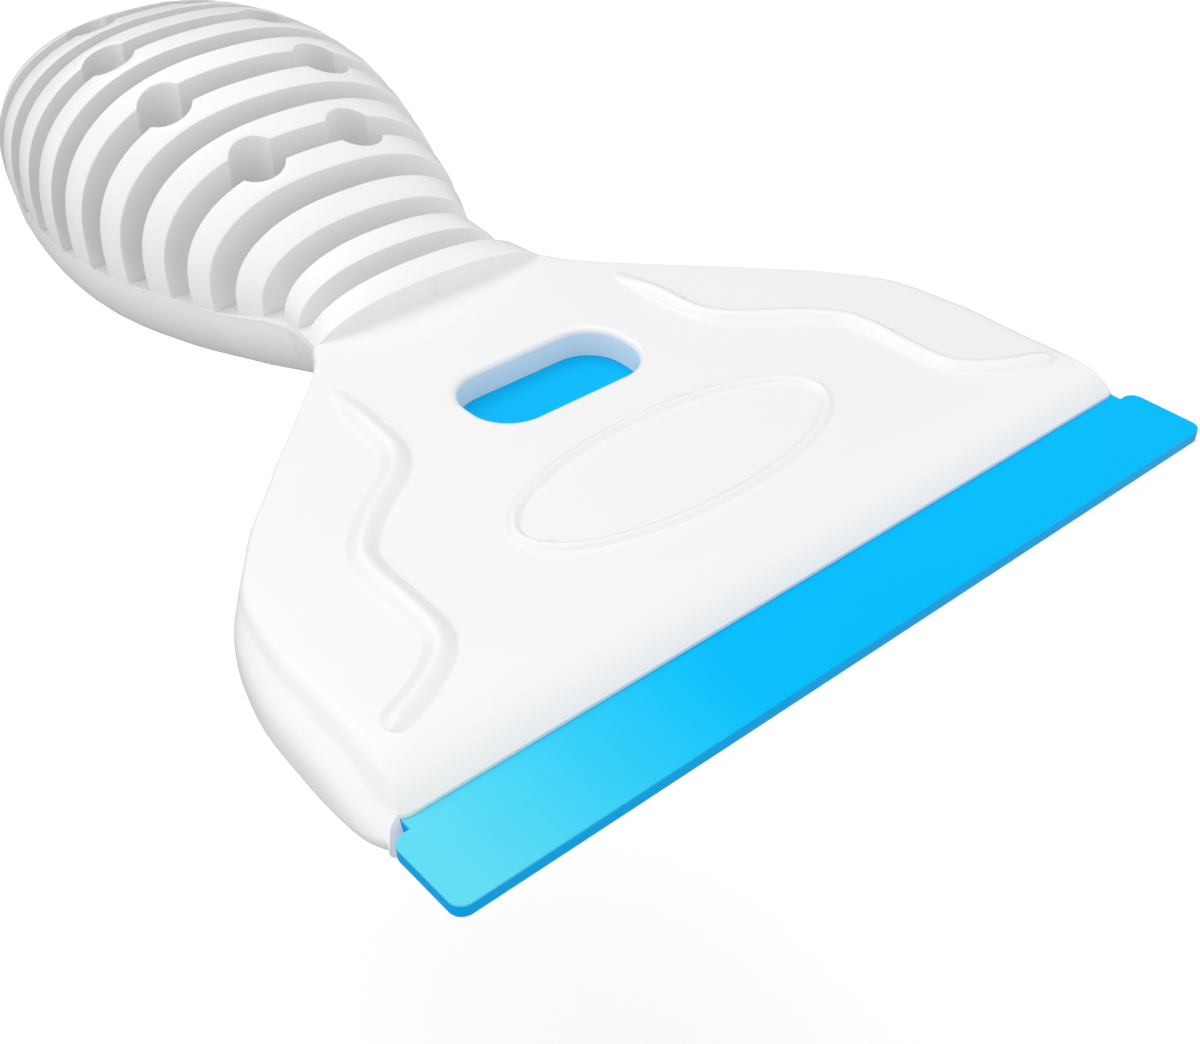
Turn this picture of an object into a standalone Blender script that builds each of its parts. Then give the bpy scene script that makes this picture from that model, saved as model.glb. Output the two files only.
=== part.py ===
"""Aquarium algae scraper: a ribbed grip and a flat head that holds a sliding blade.

All lengths are metres. The pieces are modelled in the blade's frame: X runs along
the blade, Y runs from the blade's front edge to the end of the grip, and Z = 0 is
the blade's upper face. One empty then lowers that frame onto the floor.
"""
import math

import bmesh
import bpy

# Fits
PIECE_GAP = 0.0003
CUT_OVERRUN = 0.004

# Blade
BLADE_WIDTH = 0.102
BLADE_THICKNESS = 0.0015
BLADE_EXPOSED = 0.0094
BLADE_CORNER = 0.0014
BLADE_SHOULDER = 0.0021
TANG_LENGTH = 0.0126
TONGUE_WIDTH = 0.034
TONGUE_LAP = 0.0038
TONGUE_CORNER = 0.003
TANG_WIDTH = BLADE_WIDTH - 2 * BLADE_SHOULDER
TANG_END = BLADE_EXPOSED + TANG_LENGTH

# Head
SHOULDER_GAP = 0.001
HEAD_LENGTH = 0.0629
HEAD_SIDE_MARGIN = 0.0005
HEAD_COVER_THICKNESS = 0.0031
HEAD_TOP = 0.0032
HEAD_TOP_RISE = 0.0006
HEAD_EDGE_RADIUS = 0.0012
HEAD_FOOT_RADIUS = 0.001
NECK_FOOT_RADIUS = 0.0038
HEAD_WALL_LEAN = 0.0033
FRONT_BEVEL_LENGTH = 0.0084
FRONT_LIP_LENGTH = 0.0028
FRONT_LIP_RISE = 0.0004
WING_DROP = 0.0003
HEAD_FRONT = BLADE_EXPOSED + SHOULDER_GAP
HEAD_REAR = HEAD_FRONT + HEAD_LENGTH
HEAD_WIDTH = BLADE_WIDTH + 2 * HEAD_SIDE_MARGIN
HEAD_BOTTOM = BLADE_THICKNESS + PIECE_GAP + HEAD_COVER_THICKNESS

# Thumb window
WINDOW_DEPTH = 0.0114
WINDOW_LENGTH = 0.0225
WINDOW_CORNER = 0.005
WINDOW_TO_GRIP = 0.0161
WINDOW_REAR = HEAD_REAR - WINDOW_TO_GRIP
WINDOW_FRONT = WINDOW_REAR - WINDOW_DEPTH
TONGUE_END = WINDOW_REAR + TONGUE_LAP

# Raised lines on the head
BEAD_WIDTH = 0.002
BEAD_HEIGHT = 0.0005
BEAD_ROOT = 0.0007
OVAL_SETBACK = 0.0199
OVAL_HALF_LENGTH = 0.021
OVAL_HALF_DEPTH = 0.0082
OVAL_BEAD_WIDTH = 0.0014
OVAL_BEAD_HEIGHT = 0.0004
OVAL_CENTRE = HEAD_FRONT + OVAL_SETBACK

# Grip
GRIP_WIDTH = 0.0512
GRIP_RISE = 0.0187
GRIP_BELLY = 0.0226
GRIP_CENTRE_FRONT = 0.0014
GRIP_CENTRE_CLIMB = 0.0031
GRIP_FACE_DRAFT = 0.0001
GRIP_NOSE = 0.0087
RIB_THICKNESS = 0.0035
GROOVE_WIDTH = 0.0035
GROOVE_COUNT = 11
GROOVE_FLOOR = 0.0006
WELL_DIAMETER = 0.007
FAIRING_LENGTH = 0.0173
FAIRING_HALF_WIDTH = 0.0135
FAIRING_SHOULDER = 0.0015
FAIRING_DIP = 0.0043
GRIP_LENGTH = GROOVE_COUNT * (RIB_THICKNESS + GROOVE_WIDTH) + GRIP_NOSE
OVERALL_LENGTH = HEAD_REAR + GRIP_LENGTH

# Air chamber in the grip and its cover
WEB_THICKNESS = 0.0024
SHELL_WALL = 0.003
CHAMBER_FRONT_WALL = 0.0107
CHAMBER_REAR_WALL = 0.009
GRIP_COVER_THICKNESS = 0.0014
GRIP_COVER_SETBACK = 0.008
GRIP_COVER_WIDTH = 0.028
GRIP_COVER_CORNER = 0.0102
COVER_LEDGE = 0.002
CHAMBER_FRONT = HEAD_REAR + CHAMBER_FRONT_WALL
CHAMBER_REAR = OVERALL_LENGTH - CHAMBER_REAR_WALL
GRIP_COVER_FRONT = CHAMBER_FRONT + GRIP_COVER_SETBACK
GRIP_COVER_REAR = CHAMBER_REAR - GRIP_COVER_SETBACK

# Head cover
HEAD_COVER_SETBACK = 0.0059
HEAD_COVER_LAP = 0.0082
HEAD_COVER_RIM = 0.0045
HEAD_COVER_CORNER = 0.002
HEAD_COVER_FRONT = HEAD_FRONT + HEAD_COVER_SETBACK
HEAD_COVER_REAR = WINDOW_FRONT + HEAD_COVER_LAP

# Screws
SCREW_SHANK = 0.0029
SCREW_HEAD = 0.0054
SCREW_CONE_HEIGHT = 0.0014
SCREW_SINK = 0.0003
SCREW_RECESS_WIDTH = 0.0008
SCREW_RECESS_SPAN = 0.0028
SCREW_RECESS_DEPTH = 0.0006
SCREW_TIP = 0.0008
HEAD_SCREW_LENGTH = 0.0056
HEAD_SCREW_INSET = 0.01
HEAD_SCREW_FRONT_SETBACK = 0.0147
HEAD_SCREW_REAR_SETBACK = 0.0055
GRIP_SCREW_LENGTH = 0.01
GRIP_SCREW_SETBACK = 0.007
BOSS_DIAMETER = 0.0085
HEAD_SCREW_FRONT = HEAD_COVER_FRONT + HEAD_SCREW_FRONT_SETBACK
HEAD_SCREW_REAR = HEAD_COVER_REAR - HEAD_SCREW_REAR_SETBACK
GRIP_SCREW_FRONT = GRIP_COVER_FRONT + GRIP_SCREW_SETBACK
GRIP_SCREW_REAR = GRIP_COVER_REAR - GRIP_SCREW_SETBACK

# Head outline: share of the head's length, share of half its width
HEAD_OUTLINE_SHARES = (
    (0.0, 0.990), (0.062, 0.998), (0.216, 0.998), (0.312, 0.988), (0.394, 0.961),
    (0.450, 0.932), (0.490, 0.902), (0.520, 0.880), (0.552, 0.850), (0.590, 0.813),
    (0.615, 0.788), (0.676, 0.713), (0.742, 0.638), (0.795, 0.570), (0.825, 0.533),
    (0.881, 0.463), (0.930, 0.405), (0.963, 0.371), (1.0, 0.345),
)
# Side wall: share of its height, shares of the wings' lean and of the edge's radius
SIDE_SHARES = (
    (0.0, 0.0, 0.0), (0.30, 0.0, 0.0), (0.46, 0.03, 0.0), (0.60, 0.08, 0.0),
    (0.71, 0.26, 0.0), (0.79, 0.54, 0.04), (0.87, 0.68, 0.15), (0.94, 0.79, 0.41),
    (1.0, 1.0, 1.0),
)
# How far the wings drop and their walls lean: share of the length, share of the most
WING_SHARES = (
    (0.0, 1.0), (0.23, 1.0), (0.31, 0.9), (0.39, 0.77), (0.47, 0.5), (0.53, 0.2),
    (0.60, 0.1), (1.0, 0.1),
)
# Wavy bead: share of the head's length, share of half the head's width
WAVE_SHARES = (
    (0.094, 0.883), (0.108, 0.854), (0.132, 0.786), (0.172, 0.726), (0.216, 0.691),
    (0.304, 0.680), (0.399, 0.678), (0.455, 0.654), (0.521, 0.573), (0.582, 0.472),
    (0.638, 0.427), (0.731, 0.414), (0.841, 0.400),
)
# Grip: share of its length, shares of half its width, of its rise and of its belly
GRIP_SHARES = (
    (0.0, 0.690, 0.290, 0.530), (0.041, 0.635, 0.335, 0.555),
    (0.082, 0.588, 0.360, 0.590), (0.123, 0.578, 0.400, 0.630),
    (0.163, 0.613, 0.442, 0.665), (0.204, 0.676, 0.521, 0.705),
    (0.245, 0.734, 0.600, 0.745), (0.286, 0.777, 0.668, 0.785),
    (0.368, 0.867, 0.794, 0.855), (0.449, 0.945, 0.898, 0.910),
    (0.531, 0.992, 0.984, 0.965), (0.613, 1.0, 1.0, 0.995),
    (0.694, 0.980, 0.973, 1.0), (0.776, 0.941, 0.904, 0.950),
    (0.817, 0.905, 0.860, 0.900), (0.898, 0.765, 0.710, 0.755),
    (0.953, 0.550, 0.505, 0.555), (0.985, 0.325, 0.295, 0.330), (1.0, 0.0, 0.0, 0.0),
)
# Wells: which groove each pair lies in, and its share of half the grip's width
WELL_SHARES = ((3, 0.281), (5, 0.449), (7, 0.465), (9, 0.390))

# Where an arc of an edge, a front's thin start and a raised line's shoulder lie
EDGE_ARC_SHARE = 0.3
FRONT_START_SHARE = 0.25
BEAD_SHOULDER_SHARES = (0.6, 0.75)
BEAD_TAPER_SHARES = (0.6, 0.25)

# Smoothness of the round shapes
GRIP_TOP_POWER = 2.34
GRIP_BELLY_POWER = 2.2
GRIP_SIDES = 40
CORNER_STEPS = 5
ROUND_SIDES = 24
SCREW_SIDES = 16
OVAL_STEPS = 48
HEAD_STATIONS = 16
FRONT_STEPS = 5
FAIRING_STEPS = 5
END_STEP_SHARES = (0.35, 0.62, 0.82, 0.94)

WHITE = (0.86, 0.87, 0.88, 1.0)
BLUE = (0.004, 0.51, 0.97, 1.0)
STEEL = (0.62, 0.63, 0.64, 1.0)


def smooth_value(rows, at, column=1):
    """Value of a table column at a share, along a smooth curve through its rows."""
    last = len(rows) - 1
    index = 0
    while index < last - 1 and rows[index + 1][0] < at:
        index += 1
    start, end = rows[index], rows[index + 1]
    span = end[0] - start[0]
    part = min(max((at - start[0]) / span, 0.0), 1.0)

    def slope(row):
        before, after = rows[max(row - 1, 0)], rows[min(row + 1, last)]
        return (after[column] - before[column]) / (after[0] - before[0])

    square, cube = part ** 2, part ** 3
    return ((2 * cube - 3 * square + 1) * start[column]
            + (cube - 2 * square + part) * span * slope(index)
            + (3 * square - 2 * cube) * end[column]
            + (cube - square) * span * slope(index + 1))


def clear_scene():
    for thing in list(bpy.data.objects):
        bpy.data.objects.remove(thing)


def make_material(name, color, roughness, metallic=0.0):
    material = bpy.data.materials.new(name)
    material.use_nodes = True
    shader = material.node_tree.nodes["Principled BSDF"]
    shader.inputs["Base Color"].default_value = color
    shader.inputs["Roughness"].default_value = roughness
    shader.inputs["Metallic"].default_value = metallic
    material.diffuse_color = color
    return material


def add_object(name, mesh, parent=None, material=None):
    thing = bpy.data.objects.new(name, mesh)
    bpy.context.scene.collection.objects.link(thing)
    thing.parent = parent
    if material:
        mesh.materials.append(material)
    return thing


def mark_cutter(thing):
    thing.hide_render = True
    thing.display_type = "WIRE"
    return thing


def shade_round(thing, sharp_angle=math.radians(32)):
    thing.data.shade_smooth()
    thing.data.set_sharp_from_angle(angle=sharp_angle)


def mesh_from_rings(name, rings, pole=None):
    """Closed mesh through equal rings of points, capped flat or closed on a pole."""
    bm = bmesh.new()
    loops = [[bm.verts.new(point) for point in ring] for ring in rings]
    count = len(loops[0])
    for near, far in zip(loops, loops[1:]):
        for i in range(count):
            j = (i + 1) % count
            bm.faces.new((near[i], near[j], far[j], far[i]))
    bm.faces.new(loops[0])
    if pole:
        tip = bm.verts.new(pole)
        for i in range(count):
            bm.faces.new((loops[-1][i], loops[-1][(i + 1) % count], tip))
    else:
        bm.faces.new(loops[-1])
    bmesh.ops.recalc_face_normals(bm, faces=bm.faces)
    mesh = bpy.data.meshes.new(name)
    bm.to_mesh(mesh)
    bm.free()
    return mesh


def prism_mesh(name, outline, low, high):
    """Upright solid over a plan outline between two heights."""
    rings = [[(x, y, z) for x, y in outline] for z in (low, high)]
    return mesh_from_rings(name, rings)


def round_corners(points, radii):
    """Outline with each corner replaced by an arc of its own radius."""
    result = []
    count = len(points)
    for i, (x, y) in enumerate(points):
        radius = radii[i]
        if radius <= 0:
            result.append((x, y))
            continue
        before, after = points[i - 1], points[(i + 1) % count]
        ux, uy = before[0] - x, before[1] - y
        vx, vy = after[0] - x, after[1] - y
        ulen, vlen = math.hypot(ux, uy), math.hypot(vx, vy)
        ux, uy, vx, vy = ux / ulen, uy / ulen, vx / vlen, vy / vlen
        half = math.acos(max(-1.0, min(1.0, ux * vx + uy * vy))) / 2
        reach = radius / math.tan(half)
        bx, by = ux + vx, uy + vy
        blen = math.hypot(bx, by)
        far = radius / math.sin(half)
        cx, cy = x + bx / blen * far, y + by / blen * far
        start = math.atan2(y + uy * reach - cy, x + ux * reach - cx)
        end = math.atan2(y + vy * reach - cy, x + vx * reach - cx)
        turn = (end - start + math.pi) % (2 * math.pi) - math.pi
        for step in range(CORNER_STEPS + 1):
            angle = start + turn * step / CORNER_STEPS
            result.append((cx + radius * math.cos(angle), cy + radius * math.sin(angle)))
    return result


def mirrored(half):
    """Plan outline from its right half, given from front to rear."""
    return list(half) + [(-x, y) for x, y in reversed(half)]


def cylinder_mesh(name, x, y, radius, low, high, sides=ROUND_SIDES):
    circle = [(x + radius * math.cos(2 * math.pi * i / sides),
               y + radius * math.sin(2 * math.pi * i / sides)) for i in range(sides)]
    return prism_mesh(name, circle, low, high)


def join_meshes(name, meshes):
    bm = bmesh.new()
    for mesh in meshes:
        bm.from_mesh(mesh)
    joined = bpy.data.meshes.new(name)
    bm.to_mesh(joined)
    bm.free()
    return joined


def add_boolean(thing, other, operation="DIFFERENCE"):
    modifier = thing.modifiers.new(other.name, "BOOLEAN")
    modifier.operation = operation
    modifier.solver = "EXACT"
    modifier.object = other
    mark_cutter(other)
    return modifier


# Head

def head_share(y):
    return (y - HEAD_FRONT) / (HEAD_REAR - HEAD_FRONT)


def head_half_width(y):
    return HEAD_WIDTH / 2 * smooth_value(HEAD_OUTLINE_SHARES, head_share(y))


def head_top(y):
    return HEAD_TOP + HEAD_TOP_RISE * head_share(y)


def front_rounding(y, length):
    """Share of full height that a rounded front has reached at a depth."""
    part = min(max((y - HEAD_FRONT) / length, 0.0), 1.0)
    return 1 - (1 - part) ** 3


def side_x(y, height_share):
    """Half width at a share of the side wall's full height, above its foot."""
    wing_share = smooth_value(WING_SHARES, head_share(y))
    inset = HEAD_WALL_LEAN * wing_share * smooth_value(SIDE_SHARES, height_share, 1)
    inset += HEAD_EDGE_RADIUS * (1 - wing_share) * smooth_value(SIDE_SHARES, height_share, 2)
    return head_half_width(y) - inset


def head_edge(y):
    """Half width at the top edge, inside the leaning wall."""
    return side_x(y, 1.0)


def wave_x(y):
    x = HEAD_WIDTH / 2 * smooth_value(WAVE_SHARES, head_share(y))
    return min(x, head_edge(y) - 2 * HEAD_EDGE_RADIUS)


def head_section(y):
    """Closed outline of the head across its width at one depth."""
    lift = front_rounding(y, FRONT_BEVEL_LENGTH)
    drop = front_rounding(y, FRONT_LIP_LENGTH)
    top = FRONT_LIP_RISE + (head_top(y) - FRONT_LIP_RISE) * lift
    bottom = -BLADE_THICKNESS - FRONT_LIP_RISE
    bottom -= (HEAD_BOTTOM + bottom) * drop
    wing_share = smooth_value(WING_SHARES, head_share(y))
    shoulder = top - WING_DROP * wing_share * lift
    full_foot = NECK_FOOT_RADIUS + (HEAD_FOOT_RADIUS - NECK_FOOT_RADIUS) * wing_share
    foot = full_foot * (FRONT_START_SHARE + (1 - FRONT_START_SHARE) * drop)
    base, reach = full_foot - HEAD_BOTTOM, head_top(y) + HEAD_BOTTOM - full_foot
    low = (bottom + foot - base) / reach
    high = (top - base) / reach
    half = [(0.0, top), (wave_x(y), top)]
    for row in reversed(SIDE_SHARES):
        share = low + (high - low) * row[0]
        z = bottom + foot + (shoulder - bottom - foot) * row[0]
        half.append((side_x(y, share), z))
    foot_arc = EDGE_ARC_SHARE * foot
    wide = half[-1][0]
    half += [(wide - foot_arc, bottom + foot_arc), (wide - foot, bottom), (0.0, bottom)]
    left = [(-x, z) for x, z in reversed(half[1:-1])]
    return [(x, y, z) for x, z in half + left]


def head_stations():
    bevel = [HEAD_FRONT + FRONT_BEVEL_LENGTH * (i / FRONT_STEPS) ** 2
             for i in range(FRONT_STEPS + 1)]
    rest = HEAD_REAR - bevel[-1]
    plain = [bevel[-1] + rest * i / HEAD_STATIONS for i in range(1, HEAD_STATIONS + 1)]
    return bevel + plain


def bead_rings(path, width, height, root, closed=False):
    """Half-round strips across a path of (x, y, z, size share) points."""
    rings = []
    count = len(path)
    for i, (x, y, z, size) in enumerate(path):
        before = path[i - 1] if closed or i else path[0]
        after = path[(i + 1) % count] if closed or i < count - 1 else path[-1]
        dx, dy = after[0] - before[0], after[1] - before[1]
        run = math.hypot(dx, dy)
        nx, ny = -dy / run, dx / run
        half, crown = width / 2 * size, height * size
        out, up = half * BEAD_SHOULDER_SHARES[0], crown * BEAD_SHOULDER_SHARES[1]
        profile = [(-half, -root), (-half, 0.0), (-out, up), (0.0, crown), (out, up),
                   (half, 0.0), (half, -root)]
        rings.append([(x + nx * a, y + ny * a, z + b) for a, b in profile])
    return rings


def wave_mesh(side):
    knots = [row[0] for row in WAVE_SHARES]
    along = knots + [(near + far) / 2 for near, far in zip(knots, knots[1:])]
    front_size, rear_size = BEAD_TAPER_SHARES
    path = []
    for share in sorted(along):
        y = HEAD_FRONT + share * (HEAD_REAR - HEAD_FRONT)
        front = (share - knots[0]) / (knots[2] - knots[0])
        rear = (knots[-1] - share) / (knots[-1] - knots[-2])
        size = min(1.0, front_size + 2 * (1 - front_size) * front,
                   rear_size + (1 - rear_size) * rear)
        path.append((side * wave_x(y), y, head_top(y), size))
    rings = bead_rings(path, BEAD_WIDTH, BEAD_HEIGHT, BEAD_ROOT)
    return mesh_from_rings("wave", rings)


def oval_mesh():
    path = []
    for i in range(OVAL_STEPS):
        angle = 2 * math.pi * i / OVAL_STEPS
        y = OVAL_CENTRE + OVAL_HALF_DEPTH * math.sin(angle)
        path.append((OVAL_HALF_LENGTH * math.cos(angle), y, head_top(y), 1.0))
    rings = bead_rings(path, OVAL_BEAD_WIDTH, OVAL_BEAD_HEIGHT, BEAD_ROOT, closed=True)
    bm = bmesh.new()
    loops = [[bm.verts.new(point) for point in ring] for ring in rings]
    for i, near in enumerate(loops):
        far = loops[(i + 1) % len(loops)]
        for j in range(len(near)):
            k = (j + 1) % len(near)
            bm.faces.new((near[j], near[k], far[k], far[j]))
    bmesh.ops.recalc_face_normals(bm, faces=bm.faces)
    mesh = bpy.data.meshes.new("oval")
    bm.to_mesh(mesh)
    bm.free()
    return mesh


# Grip

def grip_share(y):
    return (y - HEAD_REAR) / (OVERALL_LENGTH - HEAD_REAR)


def grip_size(y, inset=0.0):
    """Half width, rise above and belly below the grip's centre line at one depth."""
    share = grip_share(y)
    wide = GRIP_WIDTH / 2 * smooth_value(GRIP_SHARES, share, 1)
    rise = GRIP_RISE * smooth_value(GRIP_SHARES, share, 2)
    belly = GRIP_BELLY * smooth_value(GRIP_SHARES, share, 3)
    return wide - inset, rise - inset, belly - inset


def grip_centre(y):
    return GRIP_CENTRE_FRONT + GRIP_CENTRE_CLIMB * grip_share(y)


def oval_section(y, centre, wide, rise, belly):
    ring = []
    for i in range(GRIP_SIDES):
        angle = 2 * math.pi * i / GRIP_SIDES
        c, s = math.cos(angle), math.sin(angle)
        power = 2 / (GRIP_TOP_POWER if s >= 0 else GRIP_BELLY_POWER)
        x = wide * math.copysign(abs(c) ** power, c)
        z = (rise if s >= 0 else belly) * math.copysign(abs(s) ** power, s)
        ring.append((x, y, centre + z))
    return ring


def grip_stations():
    pitch = RIB_THICKNESS + GROOVE_WIDTH
    middle = HEAD_REAR + RIB_THICKNESS / 2
    steps = [middle + pitch / 2 * i for i in range(2 * GROOVE_COUNT + 1)]
    rest = OVERALL_LENGTH - steps[-1]
    return [HEAD_REAR] + steps + [steps[-1] + rest * share for share in END_STEP_SHARES]


def fairing_section(part):
    """Neck under the head: part 0 is its front end, part 1 meets the grip."""
    y = HEAD_REAR - FAIRING_LENGTH + (FAIRING_LENGTH - GRIP_FACE_DRAFT) * part
    wide, _, belly = grip_size(HEAD_REAR)
    blend = part ** 1.5
    centre = grip_centre(HEAD_REAR)
    dip = FAIRING_DIP + centre
    return oval_section(y, centre, FAIRING_HALF_WIDTH + (wide - FAIRING_HALF_WIDTH) * blend,
                        FAIRING_SHOULDER, dip + (belly - dip) * blend)


def grip_mesh():
    rings = [fairing_section(i / FAIRING_STEPS) for i in range(FAIRING_STEPS + 1)]
    for y in grip_stations():
        rings.append(oval_section(y, grip_centre(y), *grip_size(y)))
    tip = (0.0, OVERALL_LENGTH, grip_centre(OVERALL_LENGTH))
    return mesh_from_rings("grip", rings, tip)


def inner_mesh(name, inset, front, rear):
    """Grip drawn in by a wall, between two depths."""
    stations = [front] + [y for y in grip_stations() if front < y < rear][::2] + [rear]
    rings = [oval_section(y, grip_centre(y), *grip_size(y, inset)) for y in stations]
    return mesh_from_rings(name, rings)


def groove_front(number):
    """Front wall of a groove, counted from 0 at the head."""
    return HEAD_REAR + RIB_THICKNESS + number * (RIB_THICKNESS + GROOVE_WIDTH)


def groove_cutter(parent):
    reach = GRIP_WIDTH / 2 + CUT_OVERRUN
    top = grip_centre(OVERALL_LENGTH) + GRIP_RISE + CUT_OVERRUN
    boxes = []
    for number in range(GROOVE_COUNT):
        front = groove_front(number)
        rear = front + GROOVE_WIDTH
        outline = [(-reach, front), (reach, front), (reach, rear), (-reach, rear)]
        boxes.append(prism_mesh("groove", outline, -GROOVE_FLOOR, top))
    return add_object("groove_cutter", join_meshes("grooves", boxes), parent)


def well_cutter(parent):
    top = grip_centre(OVERALL_LENGTH) + GRIP_RISE + CUT_OVERRUN
    wells = []
    for number, share in WELL_SHARES:
        y = groove_front(number) + GROOVE_WIDTH / 2
        for side in (-1, 1):
            x = side * share * GRIP_WIDTH / 2
            wells.append(cylinder_mesh("well", x, y, WELL_DIAMETER / 2, -GROOVE_FLOOR, top))
    return add_object("well_cutter", join_meshes("wells", wells), parent)


def grip_cover_outline(grow):
    """Plan of the grip cover's opening, drawn out by a margin."""
    half = GRIP_COVER_WIDTH / 2 + grow
    front, rear = GRIP_COVER_FRONT - grow, GRIP_COVER_REAR + grow
    points = [(half, front), (half, rear), (-half, rear), (-half, front)]
    return round_corners(points, [GRIP_COVER_CORNER + grow] * 4)


def room_cutter(parent):
    """Room inside the grip, under its web, and its opening, less the screw bosses."""
    room = add_object("room_cutter", inner_mesh("chamber", SHELL_WALL,
                                                CHAMBER_FRONT, CHAMBER_REAR), parent)
    reach = GRIP_WIDTH
    opening = prism_mesh("opening", grip_cover_outline(-COVER_LEDGE), -reach, reach)
    add_boolean(room, add_object("opening_guide", opening, parent), "UNION")
    outline = [(-reach, 0.0), (reach, 0.0), (reach, OVERALL_LENGTH), (-reach, OVERALL_LENGTH)]
    ceiling = -GROOVE_FLOOR - WEB_THICKNESS
    above = prism_mesh("ceiling", outline, ceiling, reach + CUT_OVERRUN)
    add_boolean(room, add_object("ceiling_cutter", above, parent))
    bosses = [cylinder_mesh("boss", 0.0, y, BOSS_DIAMETER / 2, -reach - CUT_OVERRUN, reach)
              for y in (GRIP_SCREW_FRONT, GRIP_SCREW_REAR)]
    add_boolean(room, add_object("boss_guide", join_meshes("bosses", bosses), parent))
    return room


# Screws

def belly_bottom(y):
    return grip_centre(y) - grip_size(y)[2]


def screw_profile(length, grow=0.0):
    """Radius and height pairs of a countersunk screw, head face at zero."""
    head, shank = SCREW_HEAD / 2 + grow, SCREW_SHANK / 2 + grow
    return [(head, 0.0), (shank, SCREW_CONE_HEIGHT), (shank, length - SCREW_TIP),
            (shank / 2, length)]


def turned_mesh(name, profile, x, y, base):
    rings = []
    for radius, height in profile:
        rings.append([(x + radius * math.cos(2 * math.pi * i / SCREW_SIDES),
                       y + radius * math.sin(2 * math.pi * i / SCREW_SIDES),
                       base + height) for i in range(SCREW_SIDES)])
    return mesh_from_rings(name, rings)


def screw_hole(name, x, y, base, length):
    """Countersunk hole round a screw, open below the head."""
    profile = screw_profile(length + PIECE_GAP, PIECE_GAP)
    profile[-1] = (profile[-2][0], length + PIECE_GAP)
    profile.insert(0, (profile[0][0], -CUT_OVERRUN))
    return turned_mesh(name, profile, x, y, base)


def add_screw(name, x, y, base, length, parent, material):
    screw = add_object(name, turned_mesh(name, screw_profile(length), 0.0, 0.0, 0.0),
                       parent, material)
    screw.location = (x, y, base)
    arm, half = SCREW_RECESS_SPAN / 2, SCREW_RECESS_WIDTH / 2
    cross = [(half, -arm), (half, -half), (arm, -half), (arm, half), (half, half),
             (half, arm), (-half, arm), (-half, half), (-arm, half), (-arm, -half),
             (-half, -half), (-half, -arm)]
    recess = add_object(name + "_recess", prism_mesh("recess", cross, -SCREW_TIP,
                                                     SCREW_RECESS_DEPTH), screw)
    add_boolean(screw, recess)
    shade_round(screw)
    return screw


def screw_places():
    """Name, x, y, head height and length of every screw."""
    under_head = -HEAD_BOTTOM + SCREW_SINK
    result = []
    for end, y in (("front", HEAD_SCREW_FRONT), ("rear", HEAD_SCREW_REAR)):
        x = head_cover_half_width(y) - HEAD_SCREW_INSET
        for side, place in (("left", -x), ("right", x)):
            name = "head_screw_" + end + "_" + side
            result.append((name, place, y, under_head, HEAD_SCREW_LENGTH))
    for name, y in (("grip_screw_front", GRIP_SCREW_FRONT), ("grip_screw_rear", GRIP_SCREW_REAR)):
        base = belly_bottom(y) + SCREW_SINK
        result.append((name, 0.0, y, base, GRIP_SCREW_LENGTH))
    return result


def screw_cutter(prefix, parent):
    holes = [screw_hole("hole", x, y, base, length)
             for name, x, y, base, length in screw_places() if name.startswith(prefix)]
    return add_object(prefix + "_screw_cutter", join_meshes("holes", holes), parent)


# Blade and its pocket

def blade_outline():
    half, tang, tongue = BLADE_WIDTH / 2, TANG_WIDTH / 2, TONGUE_WIDTH / 2
    right = [(half, 0.0), (half, BLADE_EXPOSED), (tang, BLADE_EXPOSED),
             (tang, TANG_END), (tongue, TANG_END), (tongue, TONGUE_END)]
    radii = [BLADE_CORNER, BLADE_CORNER / 2, 0.0, BLADE_CORNER, 0.0, TONGUE_CORNER]
    return round_corners(mirrored(right), radii + radii[::-1])


def pocket_outline():
    tang, tongue = TANG_WIDTH / 2 + PIECE_GAP, TONGUE_WIDTH / 2 + PIECE_GAP
    right = [(tang, HEAD_FRONT - CUT_OVERRUN), (tang, TANG_END + PIECE_GAP),
             (tongue, TANG_END + PIECE_GAP), (tongue, TONGUE_END + PIECE_GAP)]
    radii = [0.0, BLADE_CORNER, 0.0, TONGUE_CORNER]
    return round_corners(mirrored(right), radii + radii[::-1])


def window_outline():
    half = WINDOW_LENGTH / 2
    points = [(half, WINDOW_FRONT), (half, WINDOW_REAR), (-half, WINDOW_REAR),
              (-half, WINDOW_FRONT)]
    return round_corners(points, [WINDOW_CORNER] * 4)


def head_cover_half_width(y):
    return head_half_width(y) - HEAD_COVER_RIM - PIECE_GAP


def head_cover_outline(gap):
    """Plan of the head cover; a gap draws it in from its recess."""
    front, rear = HEAD_COVER_FRONT + gap, HEAD_COVER_REAR - gap
    steps = FRONT_STEPS + 2
    right = []
    for i in range(steps + 1):
        y = front + (rear - front) * i / steps
        right.append((head_half_width(y) - HEAD_COVER_RIM - gap, y))
    radii = [HEAD_COVER_CORNER] + [0.0] * (steps - 1) + [HEAD_COVER_CORNER]
    return round_corners(mirrored(right), radii + radii[::-1])


# Pieces

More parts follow.
